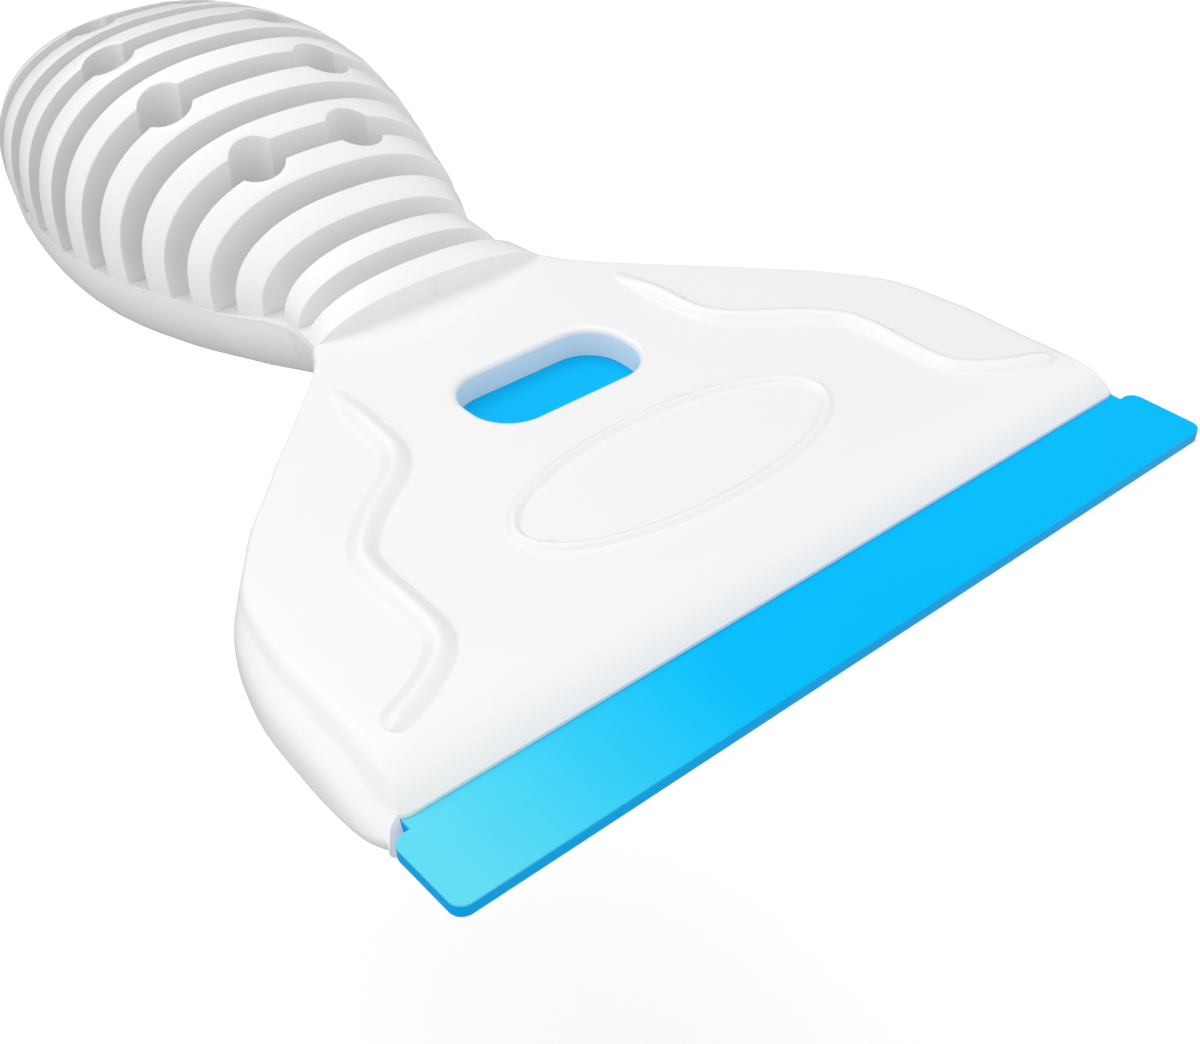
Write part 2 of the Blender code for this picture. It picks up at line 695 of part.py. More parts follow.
def build_body(frame, material):
    body = add_object("handle_body", mesh_from_rings(
        "handle_body", [head_section(y) for y in head_stations()]), frame, material)
    add_boolean(body, add_object("grip_guide", grip_mesh(), frame), "UNION")
    beads = [wave_mesh(-1), wave_mesh(1), oval_mesh()]
    add_boolean(body, add_object("bead_guide", join_meshes("beads", beads), frame), "UNION")
    add_boolean(body, groove_cutter(frame))
    add_boolean(body, well_cutter(frame))
    top = HEAD_TOP + HEAD_TOP_RISE + CUT_OVERRUN
    window = prism_mesh("window", window_outline(), -BLADE_THICKNESS, top)
    add_boolean(body, add_object("window_cutter", window, frame))
    pocket = prism_mesh("pocket", pocket_outline(), -BLADE_THICKNESS - PIECE_GAP, PIECE_GAP)
    add_boolean(body, add_object("pocket_cutter", pocket, frame))
    recess = prism_mesh("recess", head_cover_outline(0.0), -HEAD_BOTTOM - CUT_OVERRUN,
                        -BLADE_THICKNESS)
    add_boolean(body, add_object("head_recess_cutter", recess, frame))
    cut_grip_room(body, frame)
    add_boolean(body, screw_cutter("head", frame))
    add_boolean(body, screw_cutter("grip", frame))
    shade_round(body)
    return body


def cut_grip_room(body, frame):
    """Air chamber, its opening, and the seat that the cover lies on."""
    seat = add_object("seat_cutter", prism_mesh(
        "seat", grip_cover_outline(0.0), -GRIP_WIDTH, -GROOVE_FLOOR - WEB_THICKNESS), frame)
    core = add_object("seat_core", inner_mesh("core", GRIP_COVER_THICKNESS,
                                              CHAMBER_FRONT, CHAMBER_REAR), frame)
    add_boolean(seat, core)
    add_boolean(body, seat)
    add_boolean(body, room_cutter(frame))


def build_grip_cover(frame, material):
    cover = add_object("grip_cover", prism_mesh(
        "grip_cover", grip_cover_outline(-PIECE_GAP), -GRIP_WIDTH,
        -GROOVE_FLOOR - WEB_THICKNESS), frame, material)
    skin = add_object("cover_skin_guide", grip_mesh(), frame)
    add_boolean(cover, skin, "INTERSECT")
    core = add_object("cover_core_cutter", inner_mesh(
        "cover_core", GRIP_COVER_THICKNESS - PIECE_GAP, CHAMBER_FRONT, CHAMBER_REAR), frame)
    add_boolean(cover, core)
    add_boolean(cover, screw_cutter("grip", frame))
    shade_round(cover)
    return cover


def build_head_cover(frame, material):
    cover = add_object("head_cover", prism_mesh(
        "head_cover", head_cover_outline(PIECE_GAP), -HEAD_BOTTOM,
        -BLADE_THICKNESS - PIECE_GAP), frame, material)
    add_boolean(cover, screw_cutter("head", frame))
    shade_round(cover)
    return cover


def build_blade(frame, material):
    slide = bpy.data.objects.new("blade_slide", None)
    bpy.context.scene.collection.objects.link(slide)
    slide.parent = frame
    slide.location = (0.0, HEAD_FRONT, 0.0)
    blade = add_object("blade", prism_mesh("blade", blade_outline(), -BLADE_THICKNESS, 0.0),
                       slide, material)
    blade.location = (0.0, -HEAD_FRONT, 0.0)
    shade_round(blade)
    return blade


def main():
    clear_scene()
    frame = bpy.data.objects.new("scraper_frame", None)
    bpy.context.scene.collection.objects.link(frame)
    lowest = min(belly_bottom(y) for y in grip_stations())
    frame.location = (0.0, -OVERALL_LENGTH / 2, -lowest)
    white = make_material("white_plastic", WHITE, 0.42)
    blue = make_material("blue_plastic", BLUE, 0.35)
    steel = make_material("stainless_steel", STEEL, 0.3, 1.0)
    build_body(frame, white)
    build_head_cover(frame, white)
    build_grip_cover(frame, white)
    build_blade(frame, blue)
    for name, x, y, base, length in screw_places():
        add_screw(name, x, y, base, length, frame, steel)


main()
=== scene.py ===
import math
import bpy
import numpy as np
from mathutils import Matrix, Vector


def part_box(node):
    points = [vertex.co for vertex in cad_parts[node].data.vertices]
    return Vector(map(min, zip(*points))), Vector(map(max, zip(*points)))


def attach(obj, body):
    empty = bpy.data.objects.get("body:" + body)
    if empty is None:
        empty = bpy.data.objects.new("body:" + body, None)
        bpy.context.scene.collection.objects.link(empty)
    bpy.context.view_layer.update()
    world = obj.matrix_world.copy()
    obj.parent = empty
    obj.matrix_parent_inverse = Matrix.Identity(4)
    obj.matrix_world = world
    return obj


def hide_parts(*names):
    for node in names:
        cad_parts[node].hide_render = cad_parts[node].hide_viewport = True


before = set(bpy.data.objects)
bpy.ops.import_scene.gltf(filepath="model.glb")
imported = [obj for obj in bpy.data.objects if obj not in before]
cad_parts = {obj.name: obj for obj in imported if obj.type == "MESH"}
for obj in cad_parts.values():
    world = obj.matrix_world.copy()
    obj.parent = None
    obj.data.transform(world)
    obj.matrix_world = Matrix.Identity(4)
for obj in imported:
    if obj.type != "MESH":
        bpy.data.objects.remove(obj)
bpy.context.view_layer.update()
print("frame loaded", sorted(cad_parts))

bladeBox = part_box("blade")
frontEdge = bladeBox[0].y     # the blade's front edge
bladeTop = bladeBox[1].z      # the blade's upper face
mm = 0.001
weldDistance = 2e-7           # metres: nearer points of a skin are one
leastRun = 0.1                # millimetres, as is the next: they keep divisions safe
leastSize = 0.001
flatCosine = 0.9              # a face whose normal is this near to an axis lies flat


def place(x, y, z):
    # from the blade's frame in millimetres to the scene
    return Vector((x * mm, frontEdge + y * mm, bladeTop + z * mm))


def deselectAll():
    if bpy.context.object and bpy.context.object.mode != "OBJECT":
        bpy.ops.object.mode_set(mode="OBJECT")
    bpy.ops.object.select_all(action="DESELECT")


class Wire:
    # a node socket that takes plain arithmetic
    def __init__(self, shader, socket):
        self.shader, self.socket = shader, socket

    def math(self, operation, first, second):
        return self.shader.node("ShaderNodeMath", {"operation": operation}, [first, second])

    def __add__(self, other):
        return self.math("ADD", self, other)

    __radd__ = __add__

    def __mul__(self, other):
        return self.math("MULTIPLY", self, other)

    __rmul__ = __mul__

    def __sub__(self, other):
        return self.math("SUBTRACT", self, other)

    def __rsub__(self, other):
        return self.math("SUBTRACT", other, self)


class Shader:
    # a node material or sky, built up by expressions
    def __init__(self, name, store=bpy.data.materials, main="Principled BSDF"):
        self.material = store.new(name)
        self.material.use_nodes = True
        self.tree = self.material.node_tree
        self.main = self.tree.nodes[main]

    def plug(self, socket, value):
        if isinstance(value, Wire):
            self.tree.links.new(value.socket, socket)
        else:
            socket.default_value = value

    def node(self, kind, settings=None, values=(), output=0):
        made = self.tree.nodes.new(kind)
        for key, value in (settings or {}).items():
            setattr(made, key, value)
        for key, value in values.items() if isinstance(values, dict) else enumerate(values):
            self.plug(made.inputs[key], value)
        return Wire(self, made.outputs[output])

    def feed(self, socket, value):
        self.plug(self.main.inputs[socket], value)

    def mixColor(self, factor, first, second):
        # the two colours are the Mix node's seventh and eighth sockets
        return self.node("ShaderNodeMix", {"data_type": "RGBA"}, {0: factor, 6: first, 7: second}, output=2)

    def objectPoint(self):
        return self.node("ShaderNodeTexCoord", output="Object")

    def ramp(self, value, low, high, first=0.0, last=1.0):
        return self.node("ShaderNodeMapRange", {"interpolation_type": "SMOOTHSTEP"},
                         {"Value": value, "From Min": low, "From Max": high, "To Min": first, "To Max": last})

    def towards(self, point, direction):
        return self.node("ShaderNodeVectorMath", {"operation": "DOT_PRODUCT"}, [point, direction], output="Value")

    def noise(self, point, scale, detail=2.0):
        return self.node("ShaderNodeTexNoise", values={"Vector": point, "Scale": scale, "Detail": detail})

    def grain(self, point, look, detail=2.0):
        # a fine relief, also handed back for the colour
        relief = self.noise(point, look["grainScale"], detail)
        self.feed("Normal", self.node("ShaderNodeBump", values={
            "Strength": look["grainStrength"], "Distance": look["grainHeight"] * mm, "Height": relief}))
        return relief


whitePlastic = {
    "color": (0.87, 0.87, 0.87, 1.0), "shade": (0.85, 0.85, 0.852, 1.0), "shadeShare": 0.5,
    "roughness": 0.33, "roughnessSpread": 0.06, "refraction": 1.49, "cloudScale": 60.0, "cloudDetail": 3.0,
    "grainScale": 5200.0, "grainHeight": 0.004, "grainStrength": 0.25,
}


def makeWhite():
    look = whitePlastic
    shader = Shader("whiteMoulded")
    point = shader.objectPoint()
    cloud = shader.noise(point, look["cloudScale"], look["cloudDetail"])
    shader.grain(point, look)
    shader.feed("Base Color", shader.mixColor(cloud * look["shadeShare"], look["color"], look["shade"]))
    shader.feed("Roughness", cloud * look["roughnessSpread"] + look["roughness"])
    shader.feed("IOR", look["refraction"])
    return shader.material


bluePlastic = {
    # the colour, a colour between and the pale end: painted reflection of a soft light along the upper face
    "color": (0.0, 0.475, 0.90, 1.0), "between": (0.0, 0.565, 0.87, 1.0), "paintedSheen": (0.11, 0.67, 0.84, 1.0),
    "sheenFrom": -0.014, "sheenTo": -0.049, "cloudScale": 35.0, "cloudReach": 0.004,
    # the darker colour below the upper face, painted shade on the sides and underside: where the face's colour starts
    # and is full, in millimetres
    "edge": (0.0, 0.39, 0.86, 1.0), "sideShadeFrom": 0.3, "sideShadeTo": 0.05,
    "roughness": 0.25, "roughnessSpread": 0.05, "specular": 0.04,
    "grainScale": 2600.0, "grainHeight": 0.002, "grainStrength": 0.1,
}


def makeBlue():
    # a tinted sheet; its upper face grows paler and greener towards one end, a painted reflection of a soft light, and
    # below that face it is darker, painted shade
    look = bluePlastic
    shader = Shader("blueSheet")
    point = shader.objectPoint()
    cloud = shader.noise(point, look["cloudScale"])
    along = shader.towards(point, (1.0, 0.0, 0.0)) + (cloud - 0.5) * look["cloudReach"]
    # share of the painted reflection along the sheet
    paintedSheen = shader.node("ShaderNodeMapRange", values={
        "Value": along, "From Min": look["sheenFrom"], "From Max": look["sheenTo"]})
    first = shader.mixColor(paintedSheen, look["color"], look["between"])
    last = shader.mixColor(paintedSheen, look["between"], look["paintedSheen"])
    # painted shade: below its upper face the sheet takes the darker colour
    upper = shader.ramp(shader.towards(point, (0.0, 0.0, 1.0)),
                        bladeTop - look["sideShadeFrom"] * mm, bladeTop - look["sideShadeTo"] * mm)
    shader.feed("Base Color", shader.mixColor(upper, look["edge"], shader.mixColor(paintedSheen, first, last)))
    shader.feed("Roughness", cloud * look["roughnessSpread"] + look["roughness"])
    shader.feed("Specular IOR Level", look["specular"])
    shader.grain(point, look)
    return shader.material


steel = {
    "color": (0.62, 0.63, 0.64, 1.0), "shade": (0.5, 0.51, 0.53, 1.0), "shadeShare": 0.3,
    "roughness": 0.26, "roughnessSpread": 0.16,
    "grainScale": 1800.0, "grainDetail": 3.0, "grainHeight": 0.003, "grainStrength": 0.2,
}


def makeSteel():
    shader = Shader("turnedSteel")
    grain = shader.grain(shader.objectPoint(), steel, steel["grainDetail"])
    shader.feed("Base Color", shader.mixColor(grain * steel["shadeShare"], steel["color"], steel["shade"]))
    shader.feed("Metallic", 1.0)
    shader.feed("Roughness", grain * steel["roughnessSpread"] + steel["roughness"])
    return shader.material


white, blue, metal = makeWhite(), makeBlue(), makeSteel()
print("materials made")


def smoothValue(rows, at, column=1):
    # value of a table column, on a smooth curve through its rows
    last = len(rows) - 1
    index = 0
    while index < last - 1 and rows[index + 1][0] < at:
        index += 1
    near, far = rows[index], rows[index + 1]
    span = far[0] - near[0]
    part = min(max((at - near[0]) / span, 0.0), 1.0)

    def slope(row):
        before, after = rows[max(row - 1, 0)], rows[min(row + 1, last)]
        return (after[column] - before[column]) / (after[0] - before[0])

    square, cube = part ** 2, part ** 3
    return ((2 * cube - 3 * square + 1) * near[column] + (cube - 2 * square + part) * span * slope(index)
            + (3 * square - 2 * cube) * far[column] + (cube - square) * span * slope(index + 1))


def smoothStep(value):
    value = np.clip(value, 0.0, 1.0)
    return value * value * (3 - 2 * value)


def skin(name, rings, closed=False):
    # a closed skin through rings of millimetre points, laid over a grid
    rows, columns = len(rings), len(rings[0])
    if closed:
        rings = rings + [rings[0]]
        rows += 1
    rings = [list(ring) + [ring[0]] for ring in rings]
    deselectAll()
    bpy.ops.mesh.primitive_grid_add(x_subdivisions=columns, y_subdivisions=rows - 1, size=1.0, location=(0, 0, 0))
    thing = bpy.context.object
    thing.name = thing.data.name = name
    mesh = thing.data
    count = len(mesh.vertices)
    flat = np.empty(count * 3)
    mesh.vertices.foreach_get("co", flat)
    flat = flat.reshape(count, 3)
    across = np.rint((flat[:, 0] + 0.5) * columns).astype(int)
    along = np.rint((flat[:, 1] + 0.5) * (rows - 1)).astype(int)
    points = np.array(rings, dtype=float)[along, across]
    points = points * mm + np.array([0.0, frontEdge, bladeTop])
    mesh.vertices.foreach_set("co", points.ravel())
    mesh.update()
    bpy.ops.object.mode_set(mode="EDIT")
    bpy.ops.mesh.select_all(action="SELECT")
    bpy.ops.mesh.remove_doubles(threshold=weldDistance)
    if not closed:
        # the first and the last ring are capped
        bpy.ops.mesh.select_all(action="DESELECT")
        bpy.ops.mesh.select_mode(type="EDGE")
        bpy.ops.mesh.select_non_manifold()
        bpy.ops.mesh.edge_face_add()
    bpy.ops.mesh.select_all(action="SELECT")
    bpy.ops.mesh.normals_make_consistent(inside=False)
    bpy.ops.object.mode_set(mode="OBJECT")
    return thing


def prism(name, outline, low, high):
    return skin(name, [[(x, y, z) for x, y in outline] for z in (low, high)])


def cut(thing, other, operation="DIFFERENCE", keep=False):
    deselectAll()
    bpy.context.view_layer.objects.active = thing
    modifier = thing.modifiers.new("cut", "BOOLEAN")
    modifier.operation, modifier.solver, modifier.object = operation, "EXACT", other
    bpy.ops.object.modifier_apply(modifier=modifier.name)
    if not keep:
        bpy.data.objects.remove(other)


def copied(thing, name):
    twin = thing.copy()
    twin.data = thing.data.copy()
    twin.name = twin.data.name = name
    bpy.context.collection.objects.link(twin)
    return twin


def roundOutline(points, radii, steps=10):
    # a plan outline with each corner turned into an arc
    result = []
    for index, (x, y) in enumerate(points):
        radius = radii[index]
        if radius <= 0:
            result.append((x, y))
            continue
        corner = Vector((x, y))
        before = Vector(points[index - 1]) - corner
        after = Vector(points[(index + 1) % len(points)]) - corner
        before.normalize()
        after.normalize()
        half = before.angle(after) / 2
        middle = corner + (before + after).normalized() * (radius / math.sin(half))
        first = corner + before * (radius / math.tan(half)) - middle
        turn = -first.angle_signed(corner + after * (radius / math.tan(half)) - middle)
        for step in range(steps + 1):
            spot = middle + Matrix.Rotation(turn * step / steps, 2) @ first
            result.append((spot.x, spot.y))
    return result


def mirrored(half):
    return list(half) + [(-x, y) for x, y in reversed(half)]


def mirroredOutline(right, radii, steps=10):
    return roundOutline(mirrored(right), radii + radii[::-1], steps)


def pickFaces(thing, test):
    bpy.ops.object.mode_set(mode="EDIT")
    bpy.ops.mesh.select_mode(type="FACE")
    bpy.ops.mesh.select_all(action="DESELECT")
    bpy.ops.object.mode_set(mode="OBJECT")
    for face in thing.data.polygons:
        face.select = test(face)
    bpy.ops.object.mode_set(mode="EDIT")


def softenRims(thing, offset, segments, test):
    # bevel the edges around the flat faces that the test picks
    pickFaces(thing, test)
    bpy.ops.mesh.select_mode(type="EDGE")
    bpy.ops.mesh.region_to_loop()
    bpy.ops.mesh.bevel(offset=offset * mm, segments=segments)
    bpy.ops.object.mode_set(mode="OBJECT")


def turned(name, profile, spot=(0.0, 0.0), sides=40):
    # a solid of revolution: a disc drawn out and resized ring by ring
    (radius, low), (nextRadius, high) = profile[:2]
    deselectAll()
    bpy.ops.mesh.primitive_cylinder_add(vertices=sides, radius=radius * mm, depth=(high - low) * mm, location=(0, 0, 0))
    thing = bpy.context.object
    thing.name = thing.data.name = name
    thing.data.transform(Matrix.Translation((0, 0, (high - low) / 2 * mm)))
    pickFaces(thing, lambda face: face.normal.z > flatCosine)
    bpy.ops.transform.resize(value=(nextRadius / radius, nextRadius / radius, 1), center_override=(0, 0, 0))
    for (radius, before), (nextRadius, after) in zip(profile[1:], profile[2:]):
        bpy.ops.mesh.extrude_region_move(TRANSFORM_OT_translate={"value": (0, 0, (after - before) * mm)})
        bpy.ops.transform.resize(value=(nextRadius / radius, nextRadius / radius, 1), center_override=(0, 0, 0))
    bpy.ops.object.mode_set(mode="OBJECT")
    thing.data.transform(Matrix.Translation(place(spot[0], spot[1], low)))
    return thing


def coat(thing, material):
    thing.data.materials.clear()
    thing.data.materials.append(material)


def finish(thing, body, node, material, angle):
    # even shading, then the frame's body, node and slot
    deselectAll()
    bpy.context.view_layer.objects.active = thing
    thing.select_set(True)
    bpy.ops.object.shade_smooth_by_angle(angle=math.radians(angle))
    modifier = thing.modifiers.new("even", "WEIGHTED_NORMAL")
    modifier.keep_sharp = True
    bpy.ops.object.modifier_apply(modifier=modifier.name)
    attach(thing, body)
    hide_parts(node)
    coat(thing, material)
    print(thing.name, "built", len(thing.data.polygons))


head = {
    "front": 10.4, "rear": 73.3, "width": 103.0, "bottom": 4.9,
    "top": 3.2, "topRise": 0.6, "wingDrop": 0.12,
    "bevelLength": 8.4, "lipLength": 0.9, "lipRise": 0.4, "lipDrop": 3.6, "lipReach": 5.6, "lipFoot": 0.5,
    "footRadius": 1.5, "neckFootRadius": 3.8, "cornerFoot": 0.9,
    # the soft foot of the first rib: its size, half its width and the length that it runs out in
    "ribFoot": 0.25, "ribHalf": 16.6, "ribFade": 1.4,
    "outline": (
        (0.0, .994), (.062, 1.002), (.140, 1.002), (.216, .998), (.312, .990), (.394, .968), (.450, .944),
        (.490, .916), (.520, .883), (.552, .848), (.590, .810), (.615, .784), (.676, .708), (.742, .630),
        (.795, .562), (.825, .525), (.881, .456), (.930, .400), (.963, .368), (1.0, .343)),
    "wings": ((0.0, 1.0), (.23, 1.0), (.31, .9), (.39, .77), (.47, .5), (.53, .2), (.60, .1), (1.0, .1)),
    # the wing's side, from its flat top down: how far in, how far down
    "wingSide": (
        (5.2, 0.0), (4.5, .04), (3.9, .12), (3.45, .27), (3.1, .55), (2.82, .98), (2.58, 1.45), (2.3, 1.86),
        (1.85, 2.12), (1.2, 2.5), (.6, 3.1), (.2, 4.0), (0.0, 5.2), (0.0, 7.1)),
    # the same at the front corner, where the flange runs out
    "cornerSide": (
        (3.9, 0.0), (3.5, .05), (3.15, .2), (2.8, .55), (2.5, 1.1), (2.2, 1.75), (1.92, 2.4), (1.62, 2.95),
        (1.2, 3.45), (.8, 3.95), (.45, 4.55), (.22, 5.2), (.08, 5.9), (0.0, 7.1)),
    # and beside the neck
    "neckSide": (
        (.8, 0.0), (.62, .02), (.48, .06), (.35, .12), (.24, .21), (.14, .34), (.06, .52), (.02, .75),
        (0.0, 1.2), (0.0, 2.1), (0.0, 2.8), (0.0, 3.6), (0.0, 4.3), (0.0, 5.0)),
    "cornerReach": 11.0,
    # the front corner's rounding in plan: where it starts, how far back it goes, the depth from
    # which it grows and over what height, and the length behind the front in which it fades
    "cornerStart": 48.4, "cornerLength": 2.4, "cornerBack": 1.4, "cornerDepth": 2.0, "cornerHeight": 2.8,
    "cornerFade": 7.0,
    "leanStart": 46.0, "leanLength": 2.5, "cornerLean": 0.08,
    # the front face: how far each ring is drawn in, and towards which height
    "faceInsets": (0.012, 0.024, 0.036, 0.048, 0.06), "faceMiddle": -1.0, "facePull": 6,
    # the end that lies inside the grip: how far back, how far in
    "rearEnd": ((0.05, 1.5), (1.2, 1.7)),
}
headSteps = {
    "profile": 40, "wall": 22, "top": 25, "foot": 6, "under": 6,
    "bevel": 18, "bevelPower": 1.6, "length": 56, "ribFoot": 7,
}


def headShare(y):
    return (y - head["front"]) / (head["rear"] - head["front"])


def headHalf(y):
    return head["width"] / 2 * smoothValue(head["outline"], headShare(y))


def wingShare(y):
    return smoothValue(head["wings"], headShare(y))


def cornerShare(y):
    return 1 - smoothStep((y - head["front"]) / head["cornerReach"])


def frontLift(y, length):
    part = min(max((y - head["front"]) / length, 0.0), 1.0)
    return 1 - (1 - part) ** 3


def fullTop(y):
    # the upper face's height, as if the front weren't rounded
    return head["top"] + head["topRise"] * headShare(y)


def headTop(y):
    return head["lipRise"] + (fullTop(y) - head["lipRise"]) * frontLift(y, head["bevelLength"])


def sideProfile(y):
    # inset and height of the side wall from the flat top down to the foot, above the front's rounding too
    wing, corner = wingShare(y), cornerShare(y)
    rows = []
    for flank, end, neck in zip(head["wingSide"], head["cornerSide"], head["neckSide"]):
        inset, depth = [(flank[i] + (end[i] - flank[i]) * corner) * wing + neck[i] * (1 - wing) for i in (0, 1)]
        rows.append((float(len(rows)), inset, fullTop(y) - depth))
    steps = np.linspace(0, len(rows) - 1, headSteps["profile"])
    inset, height = [np.array([smoothValue(rows, step, column) for step in steps]) for column in (1, 2)]
    return inset, np.minimum.accumulate(height)


def wingFall(x, y, edge, line):
    # how far the upper face falls from the raised line out to the edge
    part = np.clip((x - line) / max(edge - line, leastRun), 0.0, 1.0)
    return head["wingDrop"] * wingShare(y) * frontLift(y, head["bevelLength"]) * part ** 2


def headSurface(x, y):
    # height of the head's upper surface
    wing = wingShare(y)
    edge = headHalf(y) - head["wingSide"][0][0] * wing - head["neckSide"][0][0] * (1 - wing)
    return headTop(y) - wingFall(np.abs(x), y, edge, waveX(y))


def cornerShift(x, z):
    # the front corner is rounded in plan and leans forward below
    back = (smoothStep((np.abs(x) - head["cornerStart"]) / head["cornerLength"])
            * smoothStep((z + head["cornerDepth"]) / head["cornerHeight"]))
    lean = smoothStep((np.abs(x) - head["leanStart"]) / head["leanLength"]) * np.minimum(z, 0.0)
    return head["cornerBack"] * back + head["cornerLean"] * lean


def headRow(y, half=None, rise=0.0):
    # one closed section across the head
    wing = wingShare(y)
    lift, drop = frontLift(y, head["bevelLength"]), frontLift(y, head["lipReach"])
    wide = headHalf(y) if half is None else half
    top = headTop(y)
    bottom = -head["lipDrop"] - (head["bottom"] - head["lipDrop"]) * drop
    foot = head["neckFootRadius"] + (head["footRadius"] - head["neckFootRadius"]) * wing
    foot += head["cornerFoot"] * cornerShare(y)
    foot *= head["lipFoot"] + (1 - head["lipFoot"]) * frontLift(y, head["lipLength"])
    inset, height = sideProfile(y)
    shoulder = top - head["wingDrop"] * wing * lift
    height = height - head["wingDrop"] * wing
    floor = bottom + foot
    # the part of the wall between the foot and the rounded front; equal heights keep their order
    order = np.arange(len(height), dtype=float)
    falling = -height - order * 1e-9
    start, end = np.interp(-shoulder, falling, order), np.interp(-floor, falling, order)
    picks = start + (end - start) * np.linspace(0, 1, headSteps["wall"])
    wallX = wide - np.interp(picks, order, inset)
    wallZ = np.interp(picks, order, height)
    wallZ[0], wallZ[-1] = shoulder, floor
    edge = wallX[0]
    topX = np.linspace(0.0, 1.0, headSteps["top"] + 1)[:-1] * edge
    topZ = top - wingFall(topX, y, edge, min(waveX(y), edge - 1.0))
    topZ = topZ + rise * np.clip((head["ribHalf"] - topX) / head["ribFade"], 0.0, 1.0)
    turn = np.linspace(0, math.pi / 2, headSteps["foot"] + 1)[1:]
    footX = wallX[-1] - foot * (1 - np.cos(turn))
    footZ = floor - foot * np.sin(turn)
    underX = np.linspace(footX[-1], 0.0, headSteps["under"] + 1)[1:]
    xs = np.concatenate([topX, wallX, footX, underX])
    zs = np.concatenate([topZ, wallZ, footZ, np.full(headSteps["under"], bottom)])
    ys = y + cornerShift(xs, zs) * (1 - smoothStep((y - head["front"]) / head["cornerFade"]))
    right = list(zip(xs, ys, zs))
    left = [(-x, v, z) for x, v, z in reversed(right[1:-1])]
    return right + left


# the two raised lines, from the front corners to the neck
wave = {
    "width": 3.5, "height": 0.86, "points": 110, "pointPower": 1.25,
    # the round front end, and the rear end's fade: its length and what is left of width and height
    "tip": 0.02, "fade": 7.5, "fadeWidth": 0.6, "fadeHeight": 0.03,
    "path": (
        (.101, .889), (.119, .855), (.139, .797), (.176, .727), (.216, .691), (.304, .680), (.399, .678),
        (.455, .654), (.521, .573), (.582, .472), (.638, .427), (.731, .414), (.862, .398)),
}
oval = {"setback": 19.9, "halfLength": 21.0, "halfDepth": 8.2, "width": 1.6, "height": 0.45, "points": 150}
# what both have in common: the section's points and softness, the skirt and root that lie in the head
relief = {"across": 17, "softness": 1.6, "sink": 0.012, "skirt": 1.12, "skirtDrop": 0.12, "root": 0.8}


def waveX(y):
    at = min(max(headShare(y), wave["path"][0][0]), wave["path"][-1][0])
    return head["width"] / 2 * smoothValue(wave["path"], at)


def strip(name, path, width, height, closed=False):
    # a soft-footed raised line along (x, y, size) points, lying on the head
    rings = []
    arc = np.sin(np.linspace(-1, 1, relief["across"]) * math.pi / 2)
    across = np.concatenate([[-relief["skirt"]], arc, [relief["skirt"]]])
    for index, (x, y, size) in enumerate(path):
        before = path[index - 1] if closed or index else path[0]
        after = path[(index + 1) % len(path)] if closed or index < len(path) - 1 else path[-1]
        run = math.hypot(after[0] - before[0], after[1] - before[1])
        nx, ny = -(after[1] - before[1]) / run, (after[0] - before[0]) / run
        ring = []
        for a in across:
            px, py = x + nx * a * width / 2 * size[0], y + ny * a * width / 2 * size[0]
            rise = height * size[1] * (1 - min(1.0, abs(a)) ** 2) ** relief["softness"] - relief["sink"]
            if abs(a) > 1:
                rise = -relief["skirtDrop"]
            ring.append((px, py, float(headSurface(px, py)) + rise))
        root = [(px, py, pz - relief["root"]) for px, py, pz in (ring[-1], ring[0])]
        rings.append(ring + root)
    return skin(name, rings, closed=closed)


def wavePath(side):
    first, last = wave["path"][0][0], wave["path"][-1][0]
    points = []
    for share in first + (last - first) * np.linspace(0, 1, wave["points"]) ** wave["pointPower"]:
        y = head["front"] + share * (head["rear"] - head["front"])
        points.append([side * waveX(y), y])
    points = np.array(points)
    runs = np.concatenate([[0], np.cumsum(np.hypot(*np.diff(points, axis=0).T))])
    path = []
    for (x, y), run in zip(points, runs):
        front = math.sqrt(max(wave["tip"], 1 - max(0.0, 1 - run / (wave["width"] / 2)) ** 2))
        rear = min(1.0, (runs[-1] - run) / wave["fade"])
        rear = rear * rear * (3 - 2 * rear)
        across, up = [wave[size] + (1 - wave[size]) * rear for size in ("fadeWidth", "fadeHeight")]
        path.append((x, y, (front * across, front * up)))
    return path


def ovalPath():
    middle = head["front"] + oval["setback"]
    path = []
    for i in range(oval["points"]):
        turn = 2 * math.pi * i / oval["points"]
        path.append((oval["halfLength"] * math.cos(turn), middle + oval["halfDepth"] * math.sin(turn), (1.0, 1.0)))
    return path


def headRows():
    rows = [head["front"] + head["bevelLength"] * (i / headSteps["bevel"]) ** headSteps["bevelPower"]
            for i in range(headSteps["bevel"] + 1)]
    flat = head["rear"] - head["ribFoot"] - rows[-1]
    return rows + [rows[-1] + flat * i / headSteps["length"] for i in range(1, headSteps["length"] + 1)]


